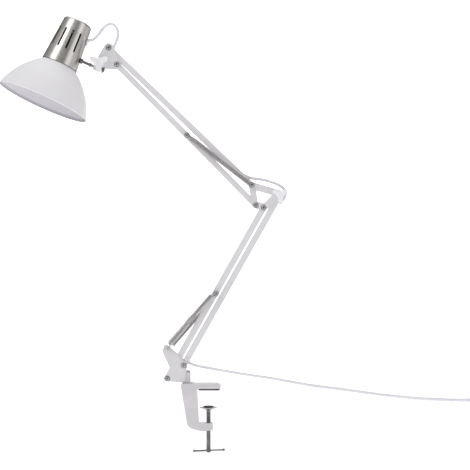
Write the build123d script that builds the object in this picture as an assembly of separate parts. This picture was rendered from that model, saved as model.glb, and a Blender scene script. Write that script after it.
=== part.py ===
from build123d import *
import os
from math import atan2, cos, degrees, hypot, pi, radians, sin, sqrt, tan

# Spring-balanced desk lamp with a table clamp, in millimetres, Z up.
# The arms stand in the XZ plane, the head leans towards -X and the clamp's jaws open towards +X.
# The origin is the middle of the jaw pad's underside, so Z = 0 is the table top.

os.makedirs("parts", exist_ok=True)

# ---------------------------------------------------------------- driving dimensions
TUBE = 10.6  # outside width of the arm tubes, across the lamp
LOWER_TALL = 11.6  # height of the lower arm's two tubes, in the arms' plane
TUBE_WALL = 1.0
TUBE_EDGE = 1.3  # rounding of the tubes' long edges
PLATE_IN = 6.0  # inner face of every side plate, from the middle plane
PLATE_OUT = 8.0
EYE = TUBE / 2
SCREW_R = 2.0  # pivot screws
BOLT_R = 2.5  # bolts of the two knobs
FIT = 0.06  # running clearance of a screw in its hole
HEAD_R = 3.9
FLANGE_R = 4.8  # of the thin flange under each screw head
HEAD_H = 2.5
NUT_AF = 7.0
NUT_H = 3.2
GAP = 0.3

KNOB_OUT = 19.0  # outer face of the knobs, from the middle plane

CORD_D = 5.4
CORD_R = CORD_D / 2

BUSH_REACH = 4.6  # of an end bush, from its pivot into the tube
FOOT_REACH = 16.0  # of the cast foot of the rear bar
TIP_REACH = 15.0  # of the cast tip of the top bar

# pivots of the two arms, as (x, z)
L_FRONT = (-73.9, 20.8)
L_REAR = (-44.4, 44.3)
E_FRONT = (99.15, 327.2)
E_REAR = (E_FRONT[0] + L_REAR[0] - L_FRONT[0], E_FRONT[1] + L_REAR[1] - L_FRONT[1])
U_MAIN = (84.9, 331.4)
U_TOP = (77.7, 367.7)
H_MAIN = (-164.5, 584.3)
H_TOP = (-178.9, 613.8)

# spring hooks, as (x, z)
SPRING_BASE = (-71.9, 74.3)
LOWER_POST = (14.1, 172.9)
UPPER_POST = (-37.9, 457.0)
SPRING_Y = 12.4  # middle of each spring, from the middle plane
SPRING_R = 4.0
LOWER_SHIFT = {-1: 5.4, 1: -2.2}  # of the near and the far coils, off the line of their hooks
UPPER_SHIFT = {-1: 1.0, 1: -2.2}
HOOK = 7.0  # from a hook's pivot to the first coil
STUD_R = 1.5  # studs on the base's cheeks

# clamp
JAW_TOP = 11.7
JAW_TIP = 22.0
JAW_UNDER = 2.7
SPINE_BACK = -49.3
SPINE_FRONT = -21.0
CLAMP_LOW = -74.0
CLAMP_HALF = 14.0
STEM = (-36.9, 0.0)  # axis of the base's vertical stem
STEM_R = 4.9
STEM_TOP = 34.6
STEM_LOW = -18.0
BUSH_R = 6.5
SWIVEL_Z = 13.8  # underside of the bracket
SCREW_CLAMP_R = 4.0
SCREW_LOW = -113.0
FOOT_TOP = -30.6
FOOT_R = 15.7
PAD_R = 9.6
BAR_LOW = -109.5  # height of the clamp's turning bar
BAR_HALF = 28.0
BAR_R = 1.7
BAR_TURN = 13.0  # how far the clamp screw happens to be turned

# lamp head, along its own axis from the middle of the shade's rim
RIM = (-296.9, 516.2)
HEAD_TILT = 23.0
HEAD_TURN = -5.4  # about the rod, which brings the shade's mouth a little towards -Y
SHADE_R = 84.0
SHADE_WALL = 1.2
SHADE_TOP = 73.0
CAP_R0 = 33.3
CAP_R1 = 26.1
CAP_TOP = 159.0
CAP_WALL = 1.0
CAP_LOW = 73.4
ROD_S = 95.5  # height of the head's rod on the head's axis
ROD_R = 2.8
BLOCK_V = 65.5  # distance of the joint block from the head's axis
BOLT_S = 104.0
LOOP_S = 131.7  # height of the cord's hole in the cap
GROMMET_R = 5.2
SLOT_LENGTH = 37.0
SLOT_WIDTH = 3.4
SLOT_COUNT = 10
SLOT_FIRST = 37.0  # degrees from the near side towards the rod
SLOT_STEP = 29.4
SLOT_MIDDLE = 118.5
SOCKET_LOW = 75.0
SOCKET_TOP = 132.0
SOCKET_R = 19.8
THREAD_R = 13.3  # bore of the bulb's screw shell

# free cord
REST_Z = 0.05 + CORD_R
SWITCH_X = 458.0
SWITCH_LEN = 58.0
ROCKER_Z = 13.0
ROCKER_TILT = 6.0  # it rests on one side and rocks over to the same tilt on the other
COIL_X = 562.0
COIL_Y = -131.0
COIL_R = 30.0  # middle of the turns
COIL_WIDE = 3  # turns side by side in the lower layer
COIL_LIFT = 0.7
LANE_Y = COIL_Y - COIL_R
PLUG_Y = COIL_Y + COIL_R
PLUG_FACE_X = 474.0

NODES = {}


# ---------------------------------------------------------------- helpers
def keep(name, solids):
    """Keep one node's solids under its name, to be written at the end."""
    NODES[name] = solids


def slab(outline, low, high):
    """An outline drawn in the plane of the arms, as a slab from Y = low to Y = high."""
    return extrude(Plane.XZ.offset(-high) * outline, amount=high - low)


def peg(point, radius, low, high):
    """A round pin along Y, through a point of the arms' plane."""
    return slab(Pos(point[0], point[1]) * Circle(radius), low, high)


def around(*circles):
    """The tight convex outline around circles, each (x, z, radius)."""
    edges = []
    for x, z, radius in circles:
        edges += (Pos(x, z) * Circle(radius)).edges()
    return make_hull(edges)


def along(start, end):
    """Length and direction, in degrees, from one point of the arms' plane to another."""
    dx, dz = end[0] - start[0], end[1] - start[1]
    return hypot(dx, dz), degrees(atan2(dz, dx))


def on_line(start, end):
    """The place whose X runs from start to end, with Z to its left."""
    return Pos(start[0], 0, start[1]) * Rot(0, -along(start, end)[1], 0)


def screw(point, low, high):
    """A pan-head cross screw along Y, its head on the -Y side of low."""
    dome = Cylinder(HEAD_R, HEAD_H, align=(Align.CENTER, Align.CENTER, Align.MIN))
    dome = fillet(dome.edges().sort_by(Axis.Z)[-1], HEAD_H * 0.6)
    arms = Box(HEAD_R * 1.2, 1.3, 2.4) + Box(1.3, HEAD_R * 1.2, 2.4)
    dome -= Pos(0, 0, HEAD_H) * arms
    top = Pos(point[0], low, point[1]) * Rot(90, 0, 0) * dome
    return top + peg(point, FLANGE_R, low - 0.6, low) + peg(point, SCREW_R, low - 0.01, high)


def nut(point, low, height=NUT_H):
    """A hexagon nut on a screw's far end, its inner face at Y = low."""
    hexagon = RegularPolygon(NUT_AF / 2, 6, major_radius=False)
    ring = Pos(point[0], point[1]) * (hexagon - Circle(SCREW_R + 0.03))
    return slab(ring, low, low + height)


def pivots(*points):
    """Short pivot screws through a pair of side plates, with their nuts."""
    pieces = []
    for point in points:
        pieces.append(screw(point, -PLATE_OUT, PLATE_OUT + NUT_H + 0.8))
        pieces.append(nut(point, PLATE_OUT))
    return pieces


def spring_post(point, inner):
    """A long screw with a collar and a spring's hook each side of Y = inner, and a thin nut."""
    pieces = [screw(point, -SPRING_Y - 1.6, SPRING_Y + 3.8)]
    pieces.append(nut(point, SPRING_Y + 1.2, height=2.4))
    ring = Pos(point[0], point[1]) * (Circle(SCREW_R + 1.2) - Circle(SCREW_R + FIT))
    pieces.append(slab(ring, inner, SPRING_Y - 1.2))
    pieces.append(slab(ring, 1.2 - SPRING_Y, -inner))
    return pieces


def arm_tube(start, end, tall=TUBE, last_pin=SCREW_R, first=0.0, last=0.0, window=None):
    """A tube between two pivots. first and last cut it back from a pivot, for an end piece.
    window is where a slot for the cord begins and ends, in the wall to the line's right."""
    length, _ = along(start, end)
    tube = slab(Pos(length / 2, 0) * SlotCenterToCenter(length, tall), -EYE, EYE)
    tube = fillet(tube.edges(), TUBE_EDGE)
    hollow = Box(length + 2 * TUBE, TUBE - 2 * TUBE_WALL, tall - 2 * TUBE_WALL)
    tube -= Pos(length / 2, 0, 0) * hollow
    for run, cut, pin in ((0, first, SCREW_R), (length, last, last_pin)):
        tube -= peg((run, 0), pin + FIT, -TUBE, TUBE)
        if cut:
            centre = cut / 2 - TUBE if run == 0 else length - cut / 2 + TUBE
            tube -= Pos(centre, 0, 0) * Box(cut + 2 * TUBE, 2 * TUBE, 2 * TUBE)
    if window:
        low, high = window
        tube -= Pos((low + high) / 2, 0, -tall / 2) * Box(high - low, CORD_D + 1.2, 3 * TUBE_WALL)
    return on_line(start, end) * tube


def end_bush(start, end, tall=TUBE, pin=SCREW_R):
    """The plastic plug in a tube's end, bored for the pivot screw or bolt at start."""
    half_wide = TUBE / 2 - TUBE_WALL - 0.05
    half_tall = tall / 2 - TUBE_WALL - 0.05
    outline = around((0, 0, half_tall), (BUSH_REACH - 1, 0, half_tall))
    block = slab(outline, -half_wide, half_wide)
    block -= peg((0, 0), pin + FIT, -TUBE, TUBE)
    return on_line(start, end) * block


def end_piece(start, end, reach, tall=TUBE):
    """A cast end piece as wide as the tube, with its pivot at start."""
    outline = around((0, 0, tall / 2), (3 * reach, 0, tall / 2))
    block = fillet(slab(outline, -EYE, EYE).edges(), TUBE_EDGE)
    block -= Pos(3 * reach, 0, 0) * Box(4 * reach, 2 * TUBE, 2 * TUBE)
    block -= peg((0, 0), SCREW_R + FIT, -TUBE, TUBE)
    return on_line(start, end) * block


def cord_tube(points, name, diameter=CORD_D):
    """A cord of straight runs joined by tangent arcs, each as large as its two runs allow."""
    spots = [Vector(*p) for p in points]
    radii = []
    for before, here, after in zip(spots, spots[1:], spots[2:]):
        turn = (here - before).get_angle(after - here)
        shorter = min((here - before).length, (after - here).length)
        radii.append(0.45 * shorter / tan(radians(turn) / 2))
    path = FilletPolyline(*spots, radius=radii)
    tube = sweep(Plane(path @ 0, z_dir=path % 0) * Circle(diameter / 2), path=path)
    full = pi * diameter**2 / 4 * path.length
    print(name, "radii", [round(r) for r in radii], "length", round(path.length, 1))
    print(name, "volume over section times length", round(tube.volume / full, 4))
    return tube


def cord_hole(first, second, play):
    """The hole that a cord's end lies in, from just before its first point to past its second."""
    line = Vector(*second) - Vector(*first)
    start = Plane(Vector(*first) - line.normalized() * CORD_R, z_dir=line)
    return extrude(start * Circle(CORD_R + play), amount=line.length + CORD_R)


def lobed(point, reach, lobe_r, hub_r):
    """A three-lobed plastic knob on the near side, bored for its bolt."""
    low, high = -KNOB_OUT, -PLATE_OUT - GAP
    outline = Circle(hub_r)
    for turn in (30, 150, 270):
        x, z = (reach - lobe_r) * cos(radians(turn)), (reach - lobe_r) * sin(radians(turn))
        outline += around((0, 0, hub_r * 0.62), (x, z, lobe_r))
    knob = slab(outline, low, high)
    knob = fillet(knob.faces().sort_by(Axis.Y)[0].edges(), 1.6)
    return Pos(point[0], 0, point[1]) * (knob - peg((0, 0), BOLT_R + FIT, low + 3, high + 1))


# ---------------------------------------------------------------- clamp
def clamp_frame():
    outline = Polygon(
        (SPINE_BACK, JAW_TOP),
        (SPINE_BACK, 7.0),
        (-38.2, CLAMP_LOW + 11.5),
        (-32.0, CLAMP_LOW + 5.4),
        (-19.0, CLAMP_LOW + 1.6),
        (-9.0, CLAMP_LOW),
        (8.3, CLAMP_LOW + 2.4),
        (8.3, CLAMP_LOW + 14.6),
        (-17.2, CLAMP_LOW + 14.0),
        (SPINE_FRONT, JAW_UNDER),
        (JAW_TIP, JAW_UNDER),
        (JAW_TIP, JAW_TOP - 3.0),
        (JAW_TIP - 5.0, JAW_TOP),
        align=None,
    )
    frame = slab(outline, -CLAMP_HALF, CLAMP_HALF)
    flank = Polygon(
        (-CLAMP_HALF, JAW_TOP + 1),
        (-CLAMP_HALF, -6.0),
        (-9.5, -34.0),
        (-9.5, CLAMP_LOW - 1),
        (9.5, CLAMP_LOW - 1),
        (9.5, -34.0),
        (CLAMP_HALF, -6.0),
        (CLAMP_HALF, JAW_TOP + 1),
        align=None,
    )
    frame &= Pos(-60, 0, 0) * extrude(Plane.YZ * flank, amount=120)
    frame = fillet(frame.edges().filter_by(Axis.Y), 2.4)
    depth = JAW_TOP - STEM_LOW + 2
    frame -= Pos(STEM[0], 0, JAW_TOP - depth / 2) * Cylinder(BUSH_R, depth)
    frame -= Pos(0, 0, CLAMP_LOW) * Cylinder(SCREW_CLAMP_R + 0.06, 40)
    return frame


def clamp():
    keep("clamp_frame", clamp_frame())

    pad = Pos(1.2, 0, JAW_UNDER / 2 - 0.01) * Box(38, 2 * CLAMP_HALF - 1, JAW_UNDER - 0.02)
    keep("jaw_pad", fillet(pad.edges().filter_by(Axis.Z), 3))

    depth = JAW_TOP - STEM_LOW + 1.9
    bush = Cylinder(BUSH_R - 0.04, depth + 1, align=(Align.CENTER, Align.CENTER, Align.MAX))
    bush = Pos(0, 0, JAW_TOP + 1) * bush + Pos(0, 0, JAW_TOP + 0.9) * Cylinder(8.6, 1.7)
    hole = Cylinder(STEM_R + 0.05, depth + 2, align=(Align.CENTER, Align.CENTER, Align.MAX))
    bush -= Pos(0, 0, JAW_TOP + 2 + 1.0) * hole
    keep("swivel_bush", Pos(STEM[0], 0, 0) * bush)

    thread = Cylinder(SCREW_CLAMP_R, FOOT_TOP - 7.6 - SCREW_LOW)
    thread = Pos(0, 0, (FOOT_TOP - 7.6 + SCREW_LOW) / 2) * chamfer(thread.edges(), 0.4)
    neck = Pos(0, 0, FOOT_TOP - 5.4) * Cylinder(2.4, 5.4)
    turn = Pos(0, 0, BAR_LOW) * Rot(0, 0, BAR_TURN) * Rot(0, 90, 0)
    cross = turn * Cylinder(BAR_R + 0.06, 4 * SCREW_CLAMP_R)
    keep("clamp_screw", thread + neck - cross)

    profile = Polygon(
        (0, FOOT_TOP - 1.2),
        (PAD_R, FOOT_TOP - 1.2),
        (PAD_R + 1.0, FOOT_TOP - 0.4),
        (FOOT_R - 1.2, FOOT_TOP),
        (FOOT_R, FOOT_TOP - 0.8),
        (FOOT_R - 0.6, FOOT_TOP - 2.0),
        (9.0, FOOT_TOP - 4.0),
        (5.0, FOOT_TOP - 7.3),
        (0, FOOT_TOP - 7.3),
        align=None,
    )
    foot = revolve(Plane.XZ * profile, Axis.Z)
    foot -= Pos(0, 0, FOOT_TOP - 5.5) * Cylinder(2.46, 6.2)
    keep("clamp_foot", foot)
    keep("foot_pad", Pos(0, 0, FOOT_TOP - 0.39) * Cylinder(PAD_R - 0.2, 1.58))

    bar = Cylinder(BAR_R, 2 * BAR_HALF)
    for side in (-1, 1):
        end = fillet(Cylinder(BAR_R + 0.8, 4.0).edges(), 0.7)
        bar += Pos(0, 0, side * (BAR_HALF - 1.0)) * end
    keep("clamp_turning_bar", turn * Pos(0, 0, 0.8) * bar)


# ---------------------------------------------------------------- base bracket
def base():
    ear = around(
        (-76.6, 75.8, 4.6),
        (-79.2, 69.2, 3.6),
        (L_REAR[0], L_REAR[1], 6.4),
        (-66.6, 39.4, 2.4),
    )
    foot = around(
        (-66.6, 39.4, 2.4),
        (L_REAR[0], L_REAR[1], 6.4),
        (L_FRONT[0], L_FRONT[1], 5.8),
        (-44.2, SWIVEL_Z + 1.0, 1.0),
    )
    outline = ear + foot
    for place in (L_FRONT, L_REAR):
        outline -= Pos(*place) * Circle(SCREW_R + FIT)
    outline -= Pos(*SPRING_BASE) * Circle(STUD_R + FIT)
    cheek = slab(outline, PLATE_IN, PLATE_OUT)
    keep("base_cheek_near", Pos(0, -PLATE_IN - PLATE_OUT, 0) * cheek)
    keep("base_cheek_far", cheek)

    stem = Cylinder(STEM_R, STEM_TOP - STEM_LOW, align=(Align.CENTER, Align.CENTER, Align.MIN))
    stem = chamfer(stem.edges(), 0.8)
    groove = Cylinder(STEM_R + 1, 1.3) - Cylinder(STEM_R - 0.7, 2)
    stem -= Pos(0, 0, STEM_TOP - STEM_LOW - 2.2) * groove
    stem = Pos(STEM[0], 0, STEM_LOW) * stem
    block = Pos(-47.4, 0, (SWIVEL_Z + 34) / 2) * Box(17.0, 2 * PLATE_IN - 0.04, 34 - SWIVEL_Z)
    keep("base_stem", stem + block)

    stud = hook_stud(SPRING_BASE)
    keep("base_fasteners", Compound(pivots(L_FRONT, L_REAR) + [stud, mirror(stud, Plane.XZ)]))


def hook_stud(point):
    """The far cheek's grooved stud, which holds one spring's hook."""
    outer = SPRING_Y + 2.2
    stud = peg((0, 0), STUD_R, PLATE_IN + 0.1, outer)
    stud += peg((0, 0), STUD_R + 1.1, PLATE_OUT + 0.02, SPRING_Y - 0.9)
    stud += peg((0, 0), STUD_R + 1.1, SPRING_Y + 0.9, outer)
    return Pos(point[0], 0, point[1]) * stud


# ---------------------------------------------------------------- arms
def lower_arm():
    post_hole = peg(LOWER_POST, SCREW_R + FIT, -TUBE, TUBE)
    keep("lower_front_bar", arm_tube(L_FRONT, E_FRONT, LOWER_TALL) - post_hole)
    bushes = [end_bush(L_FRONT, E_FRONT, LOWER_TALL), end_bush(E_FRONT, L_FRONT, LOWER_TALL)]
    keep("lower_front_bushes", Compound(bushes))
    keep("lower_spring_post", Compound(spring_post(LOWER_POST, EYE + 0.05)))

    length, _ = along(L_REAR, E_REAR)
    window = (length - 22, length - 5)
    cut = FOOT_REACH + GAP
    bar = arm_tube(L_REAR, E_REAR, LOWER_TALL, last_pin=BOLT_R, first=cut, window=window)
    keep("lower_rear_bar", bar)
    keep("lower_rear_bush", end_bush(E_REAR, L_REAR, LOWER_TALL, pin=BOLT_R))
    start, end = FOOT_REACH + 6, length - 24
    cord = Pos((start + end) / 2, 0, 0) * Rot(0, 90, 0) * Cylinder(CORD_R, end - start)
    keep("lower_arm_cord", on_line(L_REAR, E_REAR) * cord)

    hole = cord_hole(LEAD[0], LEAD[1], 0.25)
    keep("lower_rear_foot", end_piece(L_REAR, E_REAR, FOOT_REACH, LOWER_TALL) - hole)


def upper_arm():
    post_hole = peg(UPPER_POST, SCREW_R + FIT, -TUBE, TUBE)
    keep("upper_main_bar", arm_tube(U_MAIN, H_MAIN) - post_hole)
    bushes = [end_bush(U_MAIN, H_MAIN), end_bush(H_MAIN, U_MAIN)]
    keep("upper_main_bushes", Compound(bushes))
    keep("upper_spring_post", Compound(spring_post(UPPER_POST, EYE + 0.05)))

    length, _ = along(U_TOP, H_TOP)
    keep("upper_top_bar", arm_tube(U_TOP, H_TOP, last=TIP_REACH + GAP, window=(6.5, 28.5)))
    keep("upper_top_bush", end_bush(U_TOP, H_TOP))
    start, end = 32, length - TIP_REACH - 8
    cord = Pos((start + end) / 2, 0, 0) * Rot(0, 90, 0) * Cylinder(CORD_R, end - start)
    keep("upper_arm_cord", on_line(U_TOP, H_TOP) * cord)

    hole = cord_hole(HEAD_LOOP[-1], HEAD_LOOP[-2], 0.25)
    keep("upper_top_tip", end_piece(H_TOP, U_TOP, TIP_REACH) - hole)


def spring_half(start, end, left, shifts):
    """Half of a pair of springs, as plain round bars from one hook towards the middle.
    left is 1 where shifts are to the line's left, or -1 where they are to its right."""
    length, _ = along(start, end)
    pair = []
    for side, shift in shifts.items():
        coil = Cylinder(SPRING_R, length / 2 - HOOK - GAP / 2)
        middle = HOOK + (length / 2 - HOOK - GAP / 2) / 2
        pair.append(Pos(middle, side * SPRING_Y, left * shift) * Rot(0, 90, 0) * coil)
    return on_line(start, end) * Compound(pair)


def springs():
    keep("lower_springs_base_half", spring_half(SPRING_BASE, LOWER_POST, 1, LOWER_SHIFT))
    keep("lower_springs_arm_half", spring_half(LOWER_POST, SPRING_BASE, -1, LOWER_SHIFT))
    keep("upper_springs_elbow_half", spring_half(U_TOP, UPPER_POST, 1, UPPER_SHIFT))
    keep("upper_springs_arm_half", spring_half(UPPER_POST, U_TOP, -1, UPPER_SHIFT))


# ---------------------------------------------------------------- elbow
def elbow():
    outline = around(
        (*U_TOP, 5.8),
        (*U_MAIN, 5.4),
        (*E_FRONT, 5.6),
        (*E_REAR, 7.6),
    )
    window = Polygon((85.8, 358.4), (114.7, 350.2), (98.4, 335.3), (88.8, 338.1), align=None)
    outline -= fillet(window.vertices(), 1.5)
    for place in (U_TOP, U_MAIN, E_FRONT):
        outline -= Pos(*place) * Circle(SCREW_R + FIT)
    outline -= Pos(*E_REAR) * Circle(BOLT_R + FIT)
    plate = slab(outline, PLATE_IN, PLATE_OUT)
    keep("elbow_plate_near", Pos(0, -PLATE_IN - PLATE_OUT, 0) * plate)
    keep("elbow_plate_far", plate)

    fasteners = pivots(U_MAIN, E_FRONT) + spring_post(U_TOP, PLATE_OUT + 0.05)
    keep("elbow_fasteners", Compound(fasteners))

    keep("elbow_bolt", wing_bolt(E_REAR))
    keep("elbow_knob", lobed(E_REAR, 14.6, 4.2, 7.6))


def wing_bolt(point):
    """The bolt that a lobed knob tightens: a round head on the far side."""
    head = fillet(peg((0, 0), 5.0, PLATE_OUT, PLATE_OUT + 3.0).edges().sort_by(Axis.Y)[-1], 1.2)
    return Pos(point[0], 0, point[1]) * (head + peg((0, 0), BOLT_R, 3.6 - KNOB_OUT, PLATE_OUT))


# ---------------------------------------------------------------- head bracket and joint
HEAD = Pos(RIM[0], 0, RIM[1]) * Rot(0, HEAD_TILT, 0)  # X along the rod, Z up the head's axis
TURNED = HEAD * Pos(0, 0, ROD_S) * Rot(HEAD_TURN, 0, 0) * Pos(0, 0, -ROD_S)


def in_head(out, up):
    """A point of the head's own plane as (x, z) of the lamp."""
    tilt = radians(HEAD_TILT)
    return RIM[0] + out * cos(tilt) + up * sin(tilt), RIM[1] - out * sin(tilt) + up * cos(tilt)


WING = in_head(BLOCK_V, BOLT_S)


def head_bracket():
    outline = around((*H_TOP, 8.8), (*H_MAIN, 6.9), (*WING, 7.6))
    for place in (H_TOP, H_MAIN):
        outline -= Pos(*place) * Circle(SCREW_R + FIT)
    outline -= Pos(*WING) * Circle(BOLT_R + FIT)
    plate = slab(outline, PLATE_IN, PLATE_OUT)
    keep("head_plate_near", Pos(0, -PLATE_IN - PLATE_OUT, 0) * plate)
    keep("head_plate_far", plate)

    keep("head_fasteners", Compound(pivots(H_TOP, H_MAIN)))
    keep("head_bolt", wing_bolt(WING))
    keep("head_knob", lobed(WING, 18.2, 4.8, 8.8))

    ups = (ROD_S - 4.4, BOLT_S - 2)
    shoulders = [(BLOCK_V + side * 6.2, up, 1.5) for side in (-1, 1) for up in ups]
    block = slab(around((BLOCK_V, BOLT_S, 6.4), *shoulders), -5.6, 5.6)
    block -= peg((BLOCK_V, BOLT_S), BOLT_R + FIT, -TUBE, TUBE)
    block -= Pos(BLOCK_V, 0, ROD_S) * Rot(0, 90, 0) * Cylinder(ROD_R + 0.05, 40)
    keep("head_joint_block", HEAD * block)


# ---------------------------------------------------------------- head
def cap_radius(up):
    """Outside radius of the cap at a height on the head's axis."""
    return CAP_R0 + (CAP_R1 - CAP_R0) * (up - CAP_LOW) / (CAP_TOP - CAP_LOW)


def shade():
    """A thin dome whose wall leans in more and more towards the top, with a rolled rim."""
    outer = ThreePointArc((SHADE_R, 0), (63.4, 42.0), (32.4, SHADE_TOP - 0.4))
    inner = ThreePointArc(
        (SHADE_R - SHADE_WALL, 0), (63.4 - 0.9, 42.0 - 0.8), (32.0, SHADE_TOP - 0.4 - SHADE_WALL)
    )
    neck_out = Line((32.4, SHADE_TOP - 0.4), (20.4, SHADE_TOP + 1.4))
    neck_end = Line((20.4, SHADE_TOP + 1.4), (20.4, SHADE_TOP + 0.2))
    neck_in = Line((20.4, SHADE_TOP + 0.2), (32.0, SHADE_TOP - 0.4 - SHADE_WALL))
    foot = Line((SHADE_R - SHADE_WALL, 0), (SHADE_R, 0))
    wall = make_face([outer, neck_out, neck_end, neck_in, inner, foot])
    bead = Pos(SHADE_R - SHADE_WALL / 2, 0.6) * Circle(1.2)
    return revolve(Plane.XZ * (wall + bead), Axis.Z)


def cap():
    """A cone with a closed rounded top, vent slots and holes for the rod and the cord."""
    outer = loft([Pos(0, 0, CAP_LOW) * Circle(CAP_R0), Pos(0, 0, CAP_TOP) * Circle(CAP_R1)])
    outer = fillet(outer.edges().sort_by(Axis.Z)[-1], 5.0)
    low, high = CAP_LOW - 1, CAP_TOP - CAP_WALL
    inner = loft(
        [
            Pos(0, 0, low) * Circle(cap_radius(low) - CAP_WALL),
            Pos(0, 0, high) * Circle(cap_radius(high) - CAP_WALL),
        ]
    )
    inner = fillet(inner.edges().sort_by(Axis.Z)[-1], 4.0)
    shell = outer - inner
    slot = extrude(Plane.XZ * SlotOverall(SLOT_LENGTH, SLOT_WIDTH, rotation=90), amount=40)
    for step in range(SLOT_COUNT):
        shell -= Rot(0, 0, SLOT_FIRST - SLOT_STEP * step) * Pos(0, -12, SLOT_MIDDLE) * slot
    shell -= Pos(30, 0, ROD_S) * Rot(0, 90, 0) * Cylinder(ROD_R + 0.05, 20)
    shell -= Pos(28, 0, LOOP_S) * Rot(0, 90, 0) * Cylinder(GROMMET_R + 0.05, 16)
    return shell


def head():
    keep("shade", TURNED * shade())
    keep("cap", TURNED * cap())

    root = cap_radius(ROD_S)
    rod = Pos(53.0, 0, ROD_S) * Rot(0, 90, 0) * Cylinder(ROD_R, 51)
    washer = Pos(51.0, 0, ROD_S) * Rot(0, 90, 0) * Cylinder(5.2, 1.6)
    inner_nut = Pos(root - 4.2, 0, ROD_S) * Rot(0, 90, 0) * Cylinder(4.4, 3.4)
    keep("head_rod", TURNED * (rod + washer + inner_nut))
    collar = fillet(Cylinder(5.2, 4.0).edges(), 1.0) - Cylinder(ROD_R + 0.03, 9)
    collar = Pos(root + 2.9, 0, ROD_S) * Rot(0, 90, 0) * collar
    hexagon = RegularPolygon(4.9, 6, major_radius=False) - Circle(ROD_R + 0.03)
    end_nut = Pos(BLOCK_V + 8.1, 0, ROD_S) * extrude(Plane.YZ * hexagon, amount=4)
    keep("head_rod_nut", Compound([TURNED * collar, TURNED * end_nut]))

    grommet = Rot(0, 90, 0) * Cylinder(GROMMET_R, 4.4)
    grommet += Pos(1.5, 0, 0) * Rot(0, 90, 0) * Cylinder(GROMMET_R + 1.6, 1.8)
    grommet = TURNED * Pos(cap_radius(LOOP_S) + 0.2, 0, LOOP_S) * grommet
    keep("cap_grommet", grommet - cord_hole(HEAD_LOOP[0], HEAD_LOOP[1], 0.05))

    depth = SOCKET_TOP - SOCKET_LOW
    barrel = Cylinder(SOCKET_R, depth, align=(Align.CENTER, Align.CENTER, Align.MIN))
    barrel = Pos(0, 0, SOCKET_LOW) * fillet(barrel.edges().sort_by(Axis.Z)[-1], 4.0)
    hollow = Cylinder(THREAD_R + 1.1, 36, align=(Align.CENTER, Align.CENTER, Align.MIN))
    barrel -= Pos(0, 0, SOCKET_LOW - 1) * hollow
    keep("bulb_holder", TURNED * barrel)
    shell = Cylinder(THREAD_R + 1.0, 26, align=(Align.CENTER, Align.CENTER, Align.MIN))
    shell -= Cylinder(THREAD_R, 30, align=(Align.CENTER, Align.CENTER, Align.MIN))
    contact = Pos(0, 0, SOCKET_LOW + 33.4) * Cylinder(4.0, 3.0)
    contacts = [TURNED * Pos(0, 0, SOCKET_LOW + 6) * shell, TURNED * contact]
    keep("bulb_contacts", Compound(contacts))

    ring = Cylinder(27.5, 3.4) - Cylinder(SOCKET_R + 0.06, 5)
    ring = fillet(ring.edges().sort_by(SortBy.LENGTH)[-2:], 1.0)
    keep("shade_ring", TURNED * Pos(0, 0, SHADE_TOP - 4.2) * ring)

    bridge = Cylinder(cap_radius(SOCKET_TOP + 1) - CAP_WALL - 0.1, 1.6) & Box(18, 60, 3)
    keep("holder_bridge", TURNED * Pos(0, 0, SOCKET_TOP + 0.84) * bridge)


# ---------------------------------------------------------------- cords that the lamp holds
LOOP_EXIT = (TURNED * Pos(cap_radius(LOOP_S) - 3.0, 0, LOOP_S)).position
HEAD_LOOP = [
    (LOOP_EXIT.X, LOOP_EXIT.Y, LOOP_EXIT.Z),
    (-209.0, 3.2, 628.0),
    (-196.8, 2.2, 640.5),
    (-187.5, 1.0, 654.0),
    (-174.5, 0, 659.5),
    (-164.0, 0, 651.0),
    (-162.4, 0, 637.0),
    (-167.3, 0, 621.4),
    (-173.5, 0, 610.4),
]
ELBOW_LOOP = [
    (56.5, 0, 389.4),
    (74.0, 0, 380.4),
    (89.5, 0, 379.4),
    (106.0, 0, 375.8),
    (121.5, 0, 371.0),
    (133.4, 0, 364.8),
    (139.8, 0, 354.6),
    (137.2, 0, 343.4),
    (129.0, 0, 334.4),
]


def held_cords():
    keep("head_cord_loop", cord_tube(HEAD_LOOP, "head_cord_loop"))
    keep("elbow_cord_loop", cord_tube(ELBOW_LOOP, "elbow_cord_loop"))


# ---------------------------------------------------------------- free cord
LEAD = [
    (-43.6, 0, 52.0),
    (-33.3, 0, 47.0),
    (-21.0, 0, 42.4),
    (-3.0, 0, 39.2),
]
RUN = [
    (-3.0, 0, 39.2),
    (24.0, 0, 34.4),
    (64.0, 0.6, 27.4),
    (112.0, 1.2, 20.6),
    (164.0, 0.4, 11.0),
    (206.0, -2.0, 4.6),
    (237.0, -15.0, REST_Z),
    (267.0, -52.0, REST_Z),
    (306.0, -97.0, REST_Z),
    (352.0, -133.0, REST_Z),
    (402.0, -154.0, REST_Z),
    (434.0, -160.0, 3.2),
    (SWITCH_X, LANE_Y, 5.6),
]


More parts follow.
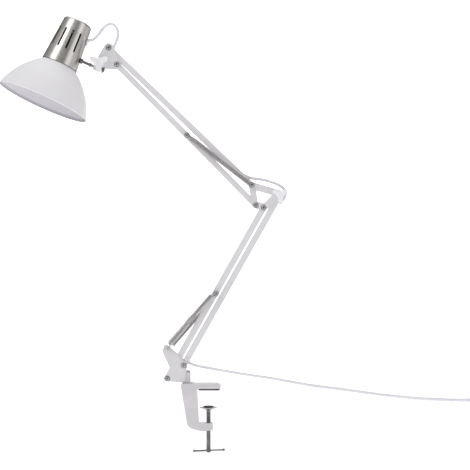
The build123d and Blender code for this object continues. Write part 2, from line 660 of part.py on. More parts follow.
def free_cord():
    keep("cord_lead", cord_tube(LEAD, "cord_lead"))
    keep("cord_run", cord_tube(RUN, "cord_run"))

    body = Box(SWITCH_LEN, 24, 14, align=(Align.MIN, Align.CENTER, Align.MIN))
    body = fillet(body.edges().filter_by(Axis.Z), 7)
    body = fillet(body.edges().group_by(Axis.Z)[-1], 2.5)
    well = Pos(SWITCH_LEN / 2, 0, 14) * Box(19, 10, 12)
    body -= well
    keep("switch_body", Pos(SWITCH_X, LANE_Y, 0) * body)
    rocker = fillet(Box(18.2, 9.2, 7.6).edges().filter_by(Axis.Y), 1.6)
    place = Pos(SWITCH_X + SWITCH_LEN / 2, LANE_Y, ROCKER_Z) * Rot(0, ROCKER_TILT, 0)
    keep("switch_rocker", place * rocker)

    ring_low = COIL_LIFT
    ring_high = COIL_LIFT + CORD_D * (1 + sqrt(3) / 2)
    half = COIL_WIDE * CORD_D / 2
    ring = Cylinder(COIL_R + half, ring_high - ring_low)
    ring -= Cylinder(COIL_R - half, 2 * ring_high)
    ring = fillet(ring.edges(), 2.2)
    middle = (ring_low + ring_high) / 2
    keep("cord_coil", Pos(COIL_X, COIL_Y, middle) * ring)

    link_start = SWITCH_X + SWITCH_LEN
    link = [
        (link_start, LANE_Y, 5.6),
        (link_start + 10.0, LANE_Y - 0.8, 4.6),
        (link_start + 20.0, LANE_Y - 2.8, 3.9),
        (link_start + 30.0, LANE_Y - 4.4, 3.6),
    ]
    wide = 2 * half + 0.4
    tall = ring_high - ring_low + 0.3
    band = Box(wide + 1.0, 5.0, tall + 1.1) - Box(wide, 6.0, tall)
    keep("coil_tie", Pos(COIL_X + COIL_R, COIL_Y, middle) * band)

    tail_start = COIL_X - 24.6
    tail = [
        (tail_start, PLUG_Y, 8.2),
        (tail_start - 5.0, PLUG_Y + 0.3, 7.9),
        (tail_start - 10.5, PLUG_Y + 0.1, 7.2),
        (tail_start - 16.0, PLUG_Y, 6.9),
    ]
    ends = [cord_tube(link, "cord_link"), cord_tube(tail, "cord_tail")]
    keep("cord_ends", Compound(ends))

    plug_back = tail_start - 16.0
    relief_len = plug_back - (PLUG_FACE_X + 34)
    relief = loft(
        [
            Plane.YZ * Circle(5.4),
            Plane.YZ.offset(relief_len) * Circle(3.6),
        ]
    )
    plug = loft(
        [
            Plane.YZ * RectangleRounded(35, 13.6, 5),
            Plane.YZ.offset(20) * RectangleRounded(30, 13.0, 5),
            Plane.YZ.offset(34.01) * RectangleRounded(17, 11.0, 5),
        ]
    )
    plug = plug + Pos(34, 0, 0) * relief
    keep("plug_body", Pos(PLUG_FACE_X, PLUG_Y, 6.9) * plug)
    pins = []
    for side in (-1, 1):
        pin = Rot(0, 90, 0) * Cylinder(2.0, 19, align=(Align.CENTER, Align.CENTER, Align.MAX))
        pin = fillet(pin.edges().sort_by(Axis.X)[0], 1.2)
        pins.append(Pos(PLUG_FACE_X, PLUG_Y + side * 9.3, 6.9) * pin)
    keep("plug_pins", Compound(pins))


clamp()
base()
lower_arm()
upper_arm()
springs()
elbow()
head_bracket()
head()
held_cords()
free_cord()

for name, solids in NODES.items():
    export_step(Compound(label=name, children=solids.solids()), f"parts/{name}.step")
print(len(NODES), "nodes")
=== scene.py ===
import math

import bpy
from mathutils import Matrix, Vector

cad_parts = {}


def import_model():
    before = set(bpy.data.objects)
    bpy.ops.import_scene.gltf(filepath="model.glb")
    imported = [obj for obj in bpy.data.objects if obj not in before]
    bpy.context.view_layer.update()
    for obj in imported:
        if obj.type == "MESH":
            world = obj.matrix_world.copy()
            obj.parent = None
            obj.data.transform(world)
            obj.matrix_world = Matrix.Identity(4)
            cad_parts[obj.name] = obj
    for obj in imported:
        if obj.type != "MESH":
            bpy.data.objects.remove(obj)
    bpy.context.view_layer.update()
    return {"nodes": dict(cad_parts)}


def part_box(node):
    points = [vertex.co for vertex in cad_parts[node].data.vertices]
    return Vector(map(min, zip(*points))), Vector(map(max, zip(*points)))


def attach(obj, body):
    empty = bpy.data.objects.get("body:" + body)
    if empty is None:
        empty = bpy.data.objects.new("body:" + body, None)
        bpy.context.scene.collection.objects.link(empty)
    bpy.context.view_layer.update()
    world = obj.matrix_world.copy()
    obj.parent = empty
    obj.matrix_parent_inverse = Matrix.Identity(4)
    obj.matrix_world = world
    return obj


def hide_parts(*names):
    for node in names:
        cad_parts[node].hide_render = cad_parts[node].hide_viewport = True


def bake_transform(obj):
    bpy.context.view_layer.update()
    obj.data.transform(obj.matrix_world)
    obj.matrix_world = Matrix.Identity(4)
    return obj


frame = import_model()
NODES = frame["nodes"]

MM = 0.001

# ---------------------------------------------------------------- places, in the CAD's own frame
CORD_D = 5.4 * MM
CORD_R = CORD_D / 2
SPRING_Y = 12.4 * MM
COIL_R = 3.3 * MM  # middle of a spring's wire
WIRE_R = 0.7 * MM
WIRE_PITCH = 1.62 * MM
HOOK = 7.0 * MM  # from a hook's pivot to the first coil
LOWER_SHIFT = {-1: 5.4 * MM, 1: -2.2 * MM}  # of the near and the far coils, off their hooks' line
UPPER_SHIFT = {-1: 1.0 * MM, 1: -2.2 * MM}
SPRING_BASE = (-71.9 * MM, 74.3 * MM)
LOWER_POST = (14.1 * MM, 172.9 * MM)
UPPER_POST = (-37.9 * MM, 457.0 * MM)
L_FRONT = (-73.9 * MM, 20.8 * MM)
L_REAR = (-44.4 * MM, 44.3 * MM)
E_FRONT = (99.15 * MM, 327.2 * MM)
U_MAIN = (84.9 * MM, 331.4 * MM)
U_TOP = (77.7 * MM, 367.7 * MM)
H_MAIN = (-164.5 * MM, 584.3 * MM)
H_TOP = (-178.9 * MM, 613.8 * MM)
RIM = (-296.9 * MM, 516.2 * MM)
HEAD_TILT = math.radians(23.0)

# screw heads: their node, the Y of their outer face, and their places
PIVOT_HEAD = -10.5 * MM
POST_HEAD = -16.5 * MM
SCREW_HEADS = [
    ("base_fasteners", PIVOT_HEAD, [L_FRONT, L_REAR]),
    ("elbow_fasteners", PIVOT_HEAD, [U_MAIN, E_FRONT]),
    ("elbow_fasteners", POST_HEAD, [U_TOP]),
    ("head_fasteners", PIVOT_HEAD, [H_MAIN, H_TOP]),
    ("lower_spring_post", POST_HEAD, [LOWER_POST]),
    ("upper_spring_post", POST_HEAD, [UPPER_POST]),
]
# painted shade on the screw heads: black in the cross recess and round the flange at the head's side
RECESS_R = 2.1 * MM
RECESS_DEEP = (0.25 * MM, 1.6 * MM)  # in from the head's face
FLANGE_R = (4.1 * MM, 5.4 * MM)
FLANGE_DEEP = 3.2 * MM
# painted shade: the stem's groove is painted black
STEM_X = -36.9 * MM
STEM_GROOVE = (31.7 * MM, 33.1 * MM)
GROOVE_R = 4.75 * MM
HEAD_TURN = math.radians(5.4)  # the shade's swivel towards the near side
ROD_S = 95.5 * MM  # of the swivel's line, above the rim along the shade's axis
# the cap's wall; the faces inside it are painted nearly black as shade
CAP_LOW, CAP_R0 = 73.4 * MM, 33.3 * MM
CAP_TOP, CAP_R1 = 159.0 * MM, 26.1 * MM
CAP_ROUND = 5 * MM  # of the top that keeps its outer paint
CAP_SKIN = 0.35 * MM  # faces deeper than this below the outer wall are the inside

# free cord: the same route as the CAD tubes
LEAD = [
    (-43.6, 0, 52.0),
    (-33.3, 0, 47.0),
    (-21.0, 0, 42.4),
    (-3.0, 0, 39.2),
]
REST_Z = 2.75
RUN = [
    (-3.0, 0, 39.2),
    (24.0, 0, 34.4),
    (64.0, 0.6, 27.4),
    (112.0, 1.2, 20.6),
    (164.0, 0.4, 11.0),
    (206.0, -2.0, 4.6),
    (237.0, -15.0, REST_Z),
    (267.0, -52.0, REST_Z),
    (306.0, -97.0, REST_Z),
    (352.0, -133.0, REST_Z),
    (402.0, -154.0, REST_Z),
    (434.0, -160.0, 3.2),
    (458.0, -161.0, 5.6),
]
THROUGH_SWITCH = [
    (487.0, -161.1, 5.9),
    (516.0, -161.0, 5.6),
    (526.0, -161.8, 4.6),
    (536.0, -163.8, 3.9),
    (546.0, -165.4, 3.6),
]
COIL_X, COIL_Y = 562.0, -131.0
LOW_TURNS = (35.5, 30.0, 24.5)  # radii of the coil's lower layer, from the outside in
HIGH_TURNS = (27.25, 32.75)  # and of the upper layer, from the inside out
LOW_Z = 3.4
HIGH_Z = 8.1
POINTS_PER_TURN = 16
TAIL = [
    (553.0, -98.4, 8.1),
    (545.0, -99.2, 8.1),
    (537.4, -100.4, 8.0),
    (530.0, -101.0, 7.3),
    (518.0, -101.0, 6.9),
]

HEAD_LOOP = [
    (-222.13, 3.41, 627.36),
    (-209.0, 3.2, 628.0),
    (-196.8, 2.2, 640.5),
    (-187.5, 1.0, 654.0),
    (-174.5, 0, 659.5),
    (-164.0, 0, 651.0),
    (-162.4, 0, 637.0),
    (-167.3, 0, 621.4),
    (-173.5, 0, 610.4),
]
ELBOW_LOOP = [
    (56.5, 0, 389.4),
    (74.0, 0, 380.4),
    (89.5, 0, 379.4),
    (106.0, 0, 375.8),
    (121.5, 0, 371.0),
    (133.4, 0, 364.8),
    (139.8, 0, 354.6),
    (137.2, 0, 343.4),
    (129.0, 0, 334.4),
]


# ---------------------------------------------------------------- camera
CAMERA_X = 47.7 * MM
CAMERA_Z = 278.1 * MM
CAMERA_AWAY = 2.1
VIEW_WIDTH = 0.846  # of the picture, at the lamp's middle plane

camera_data = bpy.data.cameras.new("camera")
camera_data.angle = 2 * math.atan(VIEW_WIDTH / 2 / CAMERA_AWAY)
camera = bpy.data.objects.new("camera", camera_data)
camera.location = (CAMERA_X, -CAMERA_AWAY, CAMERA_Z)
camera.rotation_euler = (math.radians(90), 0, 0)
bpy.context.collection.objects.link(camera)
bpy.context.scene.camera = camera
bpy.context.scene.view_settings.view_transform = "Standard"
bpy.context.scene.view_settings.look = "None"


# ---------------------------------------------------------------- materials
class Nodes:
    """Short names for building one material's nodes."""

    def __init__(self, name):
        self.material = bpy.data.materials.new(name)
        self.material.use_nodes = True
        self.tree = self.material.node_tree
        self.shader = self.tree.nodes["Principled BSDF"]
        coordinates = self.tree.nodes.new("ShaderNodeTexCoord")
        self.place = coordinates.outputs["Object"]

    def link(self, out, into):
        self.tree.links.new(out, into)

    def value(self, socket, number):
        self.shader.inputs[socket].default_value = number

    def turned(self, angle=0.0, scale=(1, 1, 1)):
        """Object coordinates turned about Y and stretched."""
        turn = self.tree.nodes.new("ShaderNodeMapping")
        turn.inputs["Rotation"].default_value = (0, angle, 0)
        self.link(self.place, turn.inputs["Vector"])
        stretch = self.tree.nodes.new("ShaderNodeVectorMath")
        stretch.operation = "MULTIPLY"
        stretch.inputs[1].default_value = scale
        self.link(turn.outputs["Vector"], stretch.inputs[0])
        return stretch.outputs["Vector"]

    def noise(self, scale, detail=3.0, roughness=0.55, vector=None):
        texture = self.tree.nodes.new("ShaderNodeTexNoise")
        texture.inputs["Scale"].default_value = scale
        texture.inputs["Detail"].default_value = detail
        texture.inputs["Roughness"].default_value = roughness
        self.link(vector or self.place, texture.inputs["Vector"])
        return texture.outputs["Fac"]

    def ranged(self, signal, low, high, start=0.3, stop=0.7):
        mapper = self.tree.nodes.new("ShaderNodeMapRange")
        mapper.inputs["From Min"].default_value = start
        mapper.inputs["From Max"].default_value = stop
        mapper.inputs["To Min"].default_value = low
        mapper.inputs["To Max"].default_value = high
        self.link(signal, mapper.inputs["Value"])
        return mapper.outputs["Result"]

    def mixed(self, signal, first, second, start=0.3, stop=0.7):
        """A colour between first and second, as signal goes from start to stop."""
        ramp = self.tree.nodes.new("ShaderNodeValToRGB")
        ramp.color_ramp.elements[0].position = start
        ramp.color_ramp.elements[1].position = stop
        ramp.color_ramp.elements[0].color = (*first, 1)
        ramp.color_ramp.elements[1].color = (*second, 1)
        self.link(signal, ramp.inputs["Fac"])
        return ramp.outputs["Color"]

    def bump(self, *layers):
        """Bumps on top of each other, each (signal, strength, height in metres)."""
        below = None
        for signal, strength, height in layers:
            node = self.tree.nodes.new("ShaderNodeBump")
            node.inputs["Strength"].default_value = strength
            node.inputs["Distance"].default_value = height
            self.link(signal, node.inputs["Height"])
            if below:
                self.link(below, node.inputs["Normal"])
            below = node.outputs["Normal"]
        self.link(below, self.shader.inputs["Normal"])


def shaded(colour, factor):
    return tuple(min(1.0, c * factor) for c in colour)


def paint(name, colour, rough, grain=0.12):
    """Powder coat: fine orange peel, and slow changes of tone and gloss."""
    n = Nodes(name)
    tone = n.mixed(n.noise(9.0, 4.0), shaded(colour, 0.965), shaded(colour, 1.02))
    n.link(tone, n.shader.inputs["Base Color"])
    n.link(n.ranged(n.noise(60.0, 5.0), rough - 0.05, rough + 0.07), n.shader.inputs["Roughness"])
    n.bump((n.noise(1500.0, 2.0), grain, 0.00012), (n.noise(260.0, 3.0), grain * 0.5, 0.0003))
    return n.material


def metal(name, colour, rough, stretch=(1, 1, 1), angle=0.0, fine=900.0, depth=0.1, dirt=0.85,
          edge=(1, 1, 1)):
    """Bare or plated metal with tool marks drawn out along one direction. edge tints its rim at
    grazing angles; set dark, it is a painted dark reflection.
    """
    n = Nodes(name)
    marks = n.turned(angle, stretch)
    stain = n.noise(45.0, 6.0, 0.6)
    tone = n.mixed(stain, shaded(colour, dirt), colour, 0.32, 0.6)
    n.link(tone, n.shader.inputs["Base Color"])
    n.value("Metallic", 1.0)
    n.value("Specular Tint", (*edge, 1))
    gloss = n.noise(fine, 3.0, 0.6, marks)
    n.link(n.ranged(gloss, rough * 0.75, rough * 1.35), n.shader.inputs["Roughness"])
    n.bump((gloss, depth, 0.0001))
    return n.material


def plastic(name, colour, rough, through=0.0, grain=0.05):
    """Moulded plastic with a faint flow pattern and fine texture."""
    n = Nodes(name)
    tone = n.mixed(n.noise(35.0, 4.0), shaded(colour, 0.95), shaded(colour, 1.03))
    n.link(tone, n.shader.inputs["Base Color"])
    n.link(n.ranged(n.noise(150.0, 4.0), rough - 0.04, rough + 0.08), n.shader.inputs["Roughness"])
    n.bump((n.noise(2200.0, 2.0), grain, 0.00008), (n.noise(90.0, 2.0), grain, 0.0004))
    if through:
        n.value("Subsurface Weight", through)
        n.value("Subsurface Radius", (0.004, 0.004, 0.0045))
        n.value("Subsurface Scale", 1.0)
    return n.material


ARM_PAINT = paint("arm_paint", (0.765, 0.75, 0.78), 0.42)
PLATE_PAINT = paint("plate_paint", (0.75, 0.732, 0.757), 0.46)
CLAMP_PAINT = paint("clamp_paint", (0.66, 0.635, 0.665), 0.42, 0.16)
SHADE_PAINT = paint("shade_paint", (0.87, 0.855, 0.875), 0.55, 0.08)
# painted reflection: the dark edge tint darkens the cap's brushed nickel towards its sides
BRUSHED = metal("brushed_nickel", (0.62, 0.60, 0.58), 0.30, (1, 1, 60), -HEAD_TILT, 60.0, 0.25, 0.9,
                edge=(0.25, 0.24, 0.23))
SPRING_STEEL = metal("spring_steel", (0.50, 0.485, 0.48), 0.27)
ZINC = metal("zinc_plate", (0.62, 0.62, 0.63), 0.30)
CHROME = metal("chrome", (0.70, 0.70, 0.72), 0.14, depth=0.03, dirt=0.9)
DARK_STEEL = metal("dark_steel", (0.35, 0.345, 0.345), 0.34, depth=0.2, dirt=0.6)
DARK_NICKEL = metal("dark_nickel", (0.27, 0.255, 0.24), 0.22, depth=0.1, dirt=0.6)
# painted shade: black for the screws' recesses and flanges and for the stem's groove
PAINTED_SHADE_BLACK = metal("painted_shade_black", (0.06, 0.06, 0.065), 0.4, depth=0.2, dirt=0.6)
# painted shade: nearly black for the inside of the cap
CAP_PAINTED_SHADE = paint("cap_painted_shade", (0.02, 0.02, 0.022), 0.7, 0.08)
BLOCK_METAL = metal("cast_block", (0.46, 0.45, 0.46), 0.38, depth=0.3)
BRASS = metal("brass", (0.72, 0.52, 0.22), 0.28)
KNOB = plastic("milky_plastic", (0.90, 0.90, 0.93), 0.28, 0.5)
BUSH = plastic("bush_plastic", (0.72, 0.72, 0.74), 0.45)
HOLDER = plastic("holder_plastic", (0.86, 0.86, 0.88), 0.4)
HOLDER_BLACK = plastic("black_plastic", (0.015, 0.015, 0.016), 0.4)
SWITCH = plastic("switch_plastic", (0.80, 0.79, 0.84), 0.3, 0.1)
TIE = plastic("tie_plastic", (0.70, 0.70, 0.72), 0.5)
BLACK_PAD = plastic("black_rubber", (0.012, 0.012, 0.013), 0.75, grain=0.3)
CORD_SKIN = plastic("cord_jacket", (0.80, 0.785, 0.84), 0.38, 0.15, 0.08)

LOOKS = {
    ARM_PAINT: "lower_front_bar lower_rear_bar upper_main_bar upper_top_bar",
    PLATE_PAINT: "base_cheek_near base_cheek_far elbow_plate_near elbow_plate_far "
    "head_plate_near head_plate_far lower_rear_foot upper_top_tip base_stem head_joint_block",
    CLAMP_PAINT: "clamp_frame",
    SHADE_PAINT: "shade",
    BRUSHED: "cap",
    SPRING_STEEL: "lower_springs_base_half lower_springs_arm_half "
    "upper_springs_elbow_half upper_springs_arm_half clamp_foot",
    ZINC: "base_fasteners lower_spring_post upper_spring_post elbow_fasteners head_fasteners "
    "elbow_bolt head_bolt",
    CHROME: "plug_pins",
    DARK_STEEL: "clamp_screw clamp_turning_bar",
    DARK_NICKEL: "head_rod head_rod_nut",
    BLOCK_METAL: "holder_bridge",
    BRASS: "bulb_contacts",
    KNOB: "elbow_knob head_knob",
    BUSH: "swivel_bush lower_front_bushes lower_rear_bush upper_main_bushes upper_top_bush",
    HOLDER: "cap_grommet shade_ring",
    HOLDER_BLACK: "bulb_holder",
    SWITCH: "switch_body switch_rocker plug_body",
    TIE: "coil_tie",
    BLACK_PAD: "foot_pad jaw_pad",
    CORD_SKIN: "lower_arm_cord upper_arm_cord cord_lead cord_run cord_coil cord_ends "
    "head_cord_loop elbow_cord_loop",
}
for look, names in LOOKS.items():
    for name in names.split():
        mesh = NODES[name].data
        mesh.materials.clear()
        mesh.materials.append(look)


def second_look(name, test, look):
    """Give a node's faces another look wherever test(centre, normal) holds."""
    mesh = NODES[name].data
    mesh.materials.append(look)
    added = len(mesh.materials) - 1
    for face in mesh.polygons:
        if test(face.center, face.normal):
            face.material_index = added


def screw_shadow(point, head):
    """The faces of a screw whose outer face lies at Y = head that get painted shade: its cross recess
    and its thin flange.
    """

    def test(p, normal):
        out = math.hypot(p.x - point[0], p.z - point[1])
        deep = p.y - head
        recess = out < RECESS_R and RECESS_DEEP[0] < deep < RECESS_DEEP[1]
        flange = FLANGE_R[0] < out < FLANGE_R[1] and 0 < deep < FLANGE_DEEP
        return recess or flange

    return test


SHADE_UP = Vector((math.sin(HEAD_TILT), 0, math.cos(HEAD_TILT)))
SHADE_AXIS = SHADE_UP * math.cos(HEAD_TURN) + Vector((0, math.sin(HEAD_TURN), 0))
SHADE_RIM = Vector((RIM[0], 0, RIM[1])) + ROD_S * (SHADE_UP - SHADE_AXIS)


def painted_shade_inside():
    """Painted shade inside the lampshade: greyer than its outer paint, and greyest in the rolled rim.
    """
    n = Nodes("painted_shade_inside")
    along = n.tree.nodes.new("ShaderNodeVectorMath")
    along.operation = "DOT_PRODUCT"
    along.inputs[1].default_value = SHADE_AXIS
    n.link(n.place, along.inputs[0])
    rim = SHADE_RIM.dot(SHADE_AXIS)
    # painted shade: dark grey at the rolled rim, lighter grey further in
    height = n.ranged(along.outputs["Value"], 0.0, 1.0, rim + 2.5 * MM, rim + 6.5 * MM)
    tone = n.mixed(height, (0.44, 0.43, 0.46), (0.69, 0.67, 0.71), 0.0, 1.0)
    n.link(tone, n.shader.inputs["Base Color"])
    n.link(n.ranged(n.noise(60.0, 5.0), 0.52, 0.66), n.shader.inputs["Roughness"])
    n.bump((n.noise(1500.0, 2.0), 0.08, 0.00012), (n.noise(260.0, 3.0), 0.05, 0.0003))
    return n.material


def shade_places(p):
    """A place's height above the rim, along the shade's axis, and the way to it from the axis."""
    height = (p - SHADE_RIM).dot(SHADE_AXIS)
    return height, p - SHADE_RIM - height * SHADE_AXIS


def in_cap(p, normal):
    """Whether a face of the cap lies inside its wall, where the cap is painted nearly black as shade.
    """
    height, away = shade_places(p)
    share = (height - CAP_LOW) / (CAP_TOP - CAP_LOW)
    outside = CAP_R0 + (CAP_R1 - CAP_R0) * share
    return away.length < outside - CAP_SKIN and height < CAP_TOP - CAP_ROUND


def in_shade(p, normal):
    """Whether a face of the shade looks towards its axis."""
    _, away = shade_places(p)
    return normal.dot(away) < 0


def in_groove(p, normal):
    """Whether a face of the base's stem lies in its groove, which is painted black as shade."""
    return STEM_GROOVE[0] < p.z < STEM_GROOVE[1] and math.hypot(p.x - STEM_X, p.y) < GROOVE_R


# painted shade: black in the screws' recesses and flanges and in the stem's groove, nearly black
# inside the cap, grey inside the lampshade
for name, head, points in SCREW_HEADS:
    for point in points:
        second_look(name, screw_shadow(point, head), PAINTED_SHADE_BLACK)
second_look("base_stem", in_groove, PAINTED_SHADE_BLACK)
second_look("cap", in_cap, CAP_PAINTED_SHADE)
second_look("shade", in_shade, painted_shade_inside())


# ---------------------------------------------------------------- mesh pieces
def mesh_piece(name, points, faces, look):
    """A smooth-shaded object from points and faces, with its look and material slot."""
    mesh = bpy.data.meshes.new(name)
    mesh.from_pydata([tuple(p) for p in points], [], faces)
    mesh.update()
    mesh.materials.append(look)
    mesh.shade_smooth()
    piece = bpy.data.objects.new(name, mesh)
    bpy.context.collection.objects.link(piece)
    return piece


def sweep(path, radius, sides):
    """Points and faces of a closed tube of a given radius along a path."""
    points, faces = [], []
    across = None
    for i, here in enumerate(path):
        ahead = (path[min(i + 1, len(path) - 1)] - path[max(i - 1, 0)]).normalized()
        if across is None:
            across = ahead.orthogonal().normalized()
        across = (across - ahead * across.dot(ahead)).normalized()
        other = ahead.cross(across)
        for k in range(sides):
            angle = 2 * math.pi * k / sides
            points.append(here + radius * (math.cos(angle) * across + math.sin(angle) * other))
    for i in range(len(path) - 1):
        for k in range(sides):
            a, b = i * sides + k, i * sides + (k + 1) % sides
            faces.append((a, b, b + sides, a + sides))
    faces.append(tuple(reversed(range(sides))))
    faces.append(tuple(range(len(points) - sides, len(points))))
    return points, faces


def nurbs_line(name, route, resolution=10):
    """The smooth line of a route, as points, from a NURBS spline with the route's points."""
    curve = bpy.data.curves.new(name, "CURVE")
    curve.dimensions = "3D"
    spline = curve.splines.new("NURBS")
    spline.points.add(len(route) - 1)
    for point, place in zip(spline.points, route):
        point.co = (place[0] * MM, place[1] * MM, place[2] * MM, 1)
    spline.order_u = 3
    spline.use_endpoint_u = True
    curve.resolution_u = resolution
    holder = bpy.data.objects.new(name, curve)
    bpy.context.collection.objects.link(holder)
    line = bpy.data.meshes.new_from_object(holder)
    spots = [Vector(v.co) for v in line.vertices]
    bpy.data.objects.remove(holder)
    bpy.data.curves.remove(curve)
    bpy.data.meshes.remove(line)
    return spots


def line_length(path):
    return sum((b - a).length for a, b in zip(path, path[1:]))


def part_of(path, share_from, share_to):
    """The stretch of a path between two shares of its length, both ends included."""
    total = line_length(path)
    kept, run = [], 0.0
    for before, here in zip(path, path[1:]):
        step = (here - before).length
        for share in (share_from, share_to):
            if run < share * total < run + step:
                kept.append(before.lerp(here, (share * total - run) / step))
        run += step
        if share_from * total <= run <= share_to * total + 1e-9:
            kept.append(here)
    return ([path[0]] if share_from == 0 else []) + kept


def held_cord(name, path, node=None):
    """A stretch of cord between two bodies, as one tube along its path."""
    points, faces = sweep(path, CORD_R, 20)
    piece = mesh_piece(name, points, faces, CORD_SKIN)
    if node:
        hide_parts(node)
    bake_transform(piece)
    return piece


def coil_route():
    """The turns of the put-away cord: in from the near side, inwards below, outwards above."""
    route = []
    turns = [(r, LOW_Z) for r in LOW_TURNS] + [(r, HIGH_Z) for r in HIGH_TURNS]
    for number, (radius, height) in enumerate(turns):
        last = number == len(turns) - 1
        count = POINTS_PER_TURN // 2 if last else POINTS_PER_TURN
        after = turns[min(number + 1, len(turns) - 1)]
        for step in range(count):
            share = 0.0 if last else max(0.0, (step - POINTS_PER_TURN + 4) / 4)
            r = radius + (after[0] - radius) * share
            z = height + (after[1] - height) * share
            angle = math.radians(-90) + 2 * math.pi * step / POINTS_PER_TURN
            x = COIL_X + r * math.cos(angle)
            route.append((x, COIL_Y + r * math.sin(angle), z))
    return route


def cords():
    head = nurbs_line("head_line", HEAD_LOOP)
    spans = [("head", "head_block"), ("head_block", "head_bracket"), ("head_bracket", "top_tip")]
    for number, bodies in enumerate(spans):
        path = part_of(head, number / 3, (number + 1) / 3)
        node = None if number else "head_cord_loop"
        held_cord(f"head_cord_{number + 1}", path, node)

    elbow = nurbs_line("elbow_line", ELBOW_LOOP)
    spans = [("top_bar", "elbow"), ("elbow", "rear_bar")]
    for number, bodies in enumerate(spans):
        path = part_of(elbow, number / 2, (number + 1) / 2)
        node = None if number else "elbow_cord_loop"
        held_cord(f"elbow_cord_{number + 1}", path, node)

    lead = nurbs_line("lead_line", LEAD)
    held_cord("cord_exit", lead, "cord_lead")

    main = nurbs_line("main_line", RUN + THROUGH_SWITCH + coil_route() + TAIL, 8)
    points, faces = sweep(main, CORD_R, 20)
    cord = mesh_piece("main_cord", points, faces, CORD_SKIN)
    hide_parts("cord_run", "cord_coil", "cord_ends")
    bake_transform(cord)


def spring_path(pin_r, length, shift):
    """A hook round its pin and then close coils out to length, along X from the pin.
    The coils' axis lies shift to the side of the pin."""
    path = []
    ring = pin_r + WIRE_R + 0.05 * MM
    for step in range(17):
        angle = math.radians(-140 + 290 * step / 16)
        path.append(Vector((-ring * math.cos(angle), 0, ring * math.sin(angle))))
    path.append(Vector((ring + 0.9 * MM, 0, -0.25 * MM)))
    turns = (length - HOOK) / WIRE_PITCH
    steps = 20
    start = HOOK - 1.4 * MM
    for step in range(int(turns * steps) + 1):
        share = step / steps
        grow = min(1.0, share / 0.8)
        angle = 2 * math.pi * share
        radius = COIL_R * math.sin(grow * math.pi / 2)
        along = start + share * WIRE_PITCH + (HOOK - start) * grow
        side = shift * grow - radius * math.cos(angle)
        path.append(Vector((along, radius * math.sin(angle), side)))
    return path


SLIM = 0.93  # how much narrower the coils that slide inside are


def spring_half(name, ends, pin_r, reach, shifts, body, node, inner):
    """Both springs of one pair, from the hooks at one end towards the other, as one piece.
    inner is how far the coils shrink, so that they slide inside the other half's."""
    first, second = ends
    dx, dz = second[0] - first[0], second[1] - first[1]
    place = Matrix.Translation((first[0], 0, first[1])) @ Matrix.Rotation(-math.atan2(dz, dx), 4, "Y")
    points, faces = [], []
    for side, shift in shifts.items():
        path = spring_path(pin_r, reach, shift)
        some, more = sweep(path, WIRE_R, 7)
        for p in some:
            if inner and p.x > HOOK + 4 * MM:
                p = Vector((p.x, p.y * inner, shift + (p.z - shift) * inner))
            points.append(place @ (p + Vector((0, side * SPRING_Y, 0))))
        base = len(points) - len(some)
        faces += [tuple(i + base for i in face) for face in more]
    piece = mesh_piece(name, points, faces, SPRING_STEEL)
    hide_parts(node)
    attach(piece, body)


def spring_pair(arm, low, high, low_pin, high_pin, overlap, shifts, low_node, high_node):
    """The two halves of an arm's springs, hooked at low and at high and overlapping between."""
    reach = math.dist(low, high) / 2 + overlap
    spring_half(f"{arm}_spring_low_coils", (low, high), low_pin, reach, shifts,
                f"{arm}_spring_low", low_node, 0)
    turned = {side: -shift for side, shift in shifts.items()}
    spring_half(f"{arm}_spring_high_coils", (high, low), high_pin, reach, turned,
                f"{arm}_spring_high", high_node, SLIM)


def springs():
    pin, stud = 2.0 * MM, 1.5 * MM
    spring_pair("lower", SPRING_BASE, LOWER_POST, stud, pin, 9 * MM, LOWER_SHIFT,
                "lower_springs_base_half", "lower_springs_arm_half")
    spring_pair("upper", U_TOP, UPPER_POST, pin, pin, 20 * MM, UPPER_SHIFT,
                "upper_springs_elbow_half", "upper_springs_arm_half")


def clamp_screw():
    """The clamp's screw, with its thread cut round it."""
    low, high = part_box("clamp_screw")
    top = high.z - 5.1 * MM
    radius, depth, pitch = 4.0 * MM, 0.62 * MM, 1.25 * MM
    around, per_pitch = 48, 8
    rows = int((top - low.z) / pitch * per_pitch)
    points, faces = [], []
    for row in range(rows + 1):
        z = low.z + (top - low.z) * row / rows
        for k in range(around):
            angle = 2 * math.pi * k / around
            phase = (z / pitch - angle / (2 * math.pi)) % 1.0
            tooth = min(1.0, max(0.0, 1.35 - 2.7 * abs(phase - 0.5)))
            edge = min(1.0, (z - low.z) / (1.2 * MM), (top - z) / (0.5 * MM))
            r = radius - depth * (1 - tooth) - 0.7 * MM * (1 - edge)
            points.append((r * math.cos(angle), r * math.sin(angle), z))
    neck = [(2.4 * MM, top + 0.02 * MM), (2.4 * MM, high.z - 0.3 * MM), (2.1 * MM, high.z)]
    for r, z in neck:
        for k in range(around):
            angle = 2 * math.pi * k / around
            points.append((r * math.cos(angle), r * math.sin(angle), z))
    for row in range(rows + len(neck)):
        for k in range(around):
            a, b = row * around + k, row * around + (k + 1) % around
            faces.append((a, b, b + around, a + around))
    faces.append(tuple(reversed(range(around))))
    faces.append(tuple(range(len(points) - around, len(points))))
    piece = mesh_piece("threaded_clamp_screw", points, faces, DARK_STEEL)
    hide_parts("clamp_screw")
    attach(piece, "clamp_screw")


cords()
springs()
clamp_screw()


# ---------------------------------------------------------------- stage
FLOOR_Z = -0.118
FLOOR_WIDE = 10.0
FLOOR_NEAR = (-4.0, 1.0)  # the part of the floor that the lamps light well
FLOOR_FAR = (1.0, 6.0)
BACK_Y = 4.6
BACK_BEND = 0.9
BACK_WIDE = 2.4
BACK_TOP = 2.6


def white(name, glow):
    n = Nodes(name)
    tone = n.mixed(n.noise(1.5, 2.0), (0.93, 0.93, 0.93), (0.95, 0.95, 0.95))
    n.link(tone, n.shader.inputs["Base Color"])
    n.value("Roughness", 0.9)
    n.value("Emission Color", (1, 1, 1, 1))
    n.value("Emission Strength", glow)
    return n.material


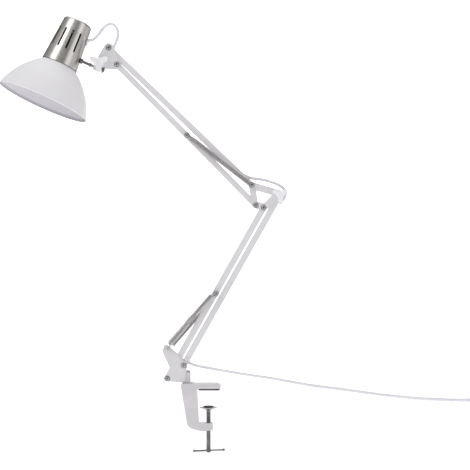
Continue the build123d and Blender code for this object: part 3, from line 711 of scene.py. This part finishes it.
def sheet(name, profile, wide, look):
    """A sheet that runs along a profile of (y, z) points, wide to either side of X = 0."""
    points, faces = [], []
    for y, z in profile:
        points += [(-wide, y, z), (wide, y, z)]
    for i in range(len(profile) - 1):
        faces.append((2 * i, 2 * i + 1, 2 * i + 3, 2 * i + 2))
    mesh = bpy.data.meshes.new(name)
    mesh.from_pydata(points, [], faces)
    mesh.shade_smooth()
    mesh.materials.append(look)
    piece = bpy.data.objects.new(name, mesh)
    bpy.context.collection.objects.link(piece)


def stage():
    """A pale floor, and a paper backdrop that curves up from it."""
    sheet("floor", [(y, FLOOR_Z) for y in FLOOR_NEAR], FLOOR_WIDE, white("floor_white", 0.42))
    bright = white("backdrop_white", 0.9)
    sheet("far_floor", [(y, FLOOR_Z) for y in FLOOR_FAR], FLOOR_WIDE, bright)
    profile = []
    for step in range(17):
        angle = math.radians(90 * step / 16)
        y = BACK_Y - BACK_BEND + BACK_BEND * math.sin(angle)
        profile.append((y, FLOOR_Z + 0.001 + BACK_BEND - BACK_BEND * math.cos(angle)))
    profile.append((BACK_Y, BACK_TOP))
    sheet("backdrop", profile, BACK_WIDE, bright)


def lamp(name, place, target, size, power):
    """A rectangular soft light at place that faces target."""
    data = bpy.data.lights.new(name, "AREA")
    data.shape = "RECTANGLE"
    data.size, data.size_y = size
    data.energy = power
    light = bpy.data.objects.new(name, data)
    light.location = place
    aim = Vector(target) - Vector(place)
    light.rotation_euler = aim.to_track_quat("-Z", "Y").to_euler()
    bpy.context.collection.objects.link(light)


SKY_GREYS = [(0.0, 1.0), (0.30, 0.95), (0.40, 0.25), (0.47, 0.2), (0.60, 1.0), (0.78, 0.3), (0.9, 0.9)]


def world():
    """A sky whose grey changes from left to right, for the metal to reflect."""
    sky = bpy.data.worlds.new("studio")
    sky.use_nodes = True
    tree = sky.node_tree
    background = tree.nodes["Background"]
    place = tree.nodes.new("ShaderNodeTexCoord")
    split = tree.nodes.new("ShaderNodeSeparateXYZ")
    ramp = tree.nodes.new("ShaderNodeValToRGB")
    tree.links.new(place.outputs["Generated"], split.inputs["Vector"])
    tree.links.new(split.outputs["X"], ramp.inputs["Fac"])
    background.inputs["Strength"].default_value = 0.42
    tree.links.new(ramp.outputs["Color"], background.inputs["Color"])
    elements = ramp.color_ramp.elements
    while len(elements) < len(SKY_GREYS):
        elements.new(0.5)
    for element, (position, grey) in zip(elements, SKY_GREYS):
        element.position = position
        element.color = (grey, grey, grey, 1)
    bpy.context.scene.world = sky


stage()
world()
lamp("key", (-1.6, -1.8, 2.4), (0, 0, 0.3), (1.6, 1.6), 23)
lamp("fill", (2.2, -1.6, 1.2), (0, 0, 0.3), (1.4, 1.8), 9.5)
lamp("top", (0.2, 0.4, 2.9), (0, 0.2, 0.2), (2.6, 2.0), 16)
lamp("backdrop_light", (0.0, 0.6, 2.6), (0, 1.6, 0.8), (3.0, 0.6), 12)
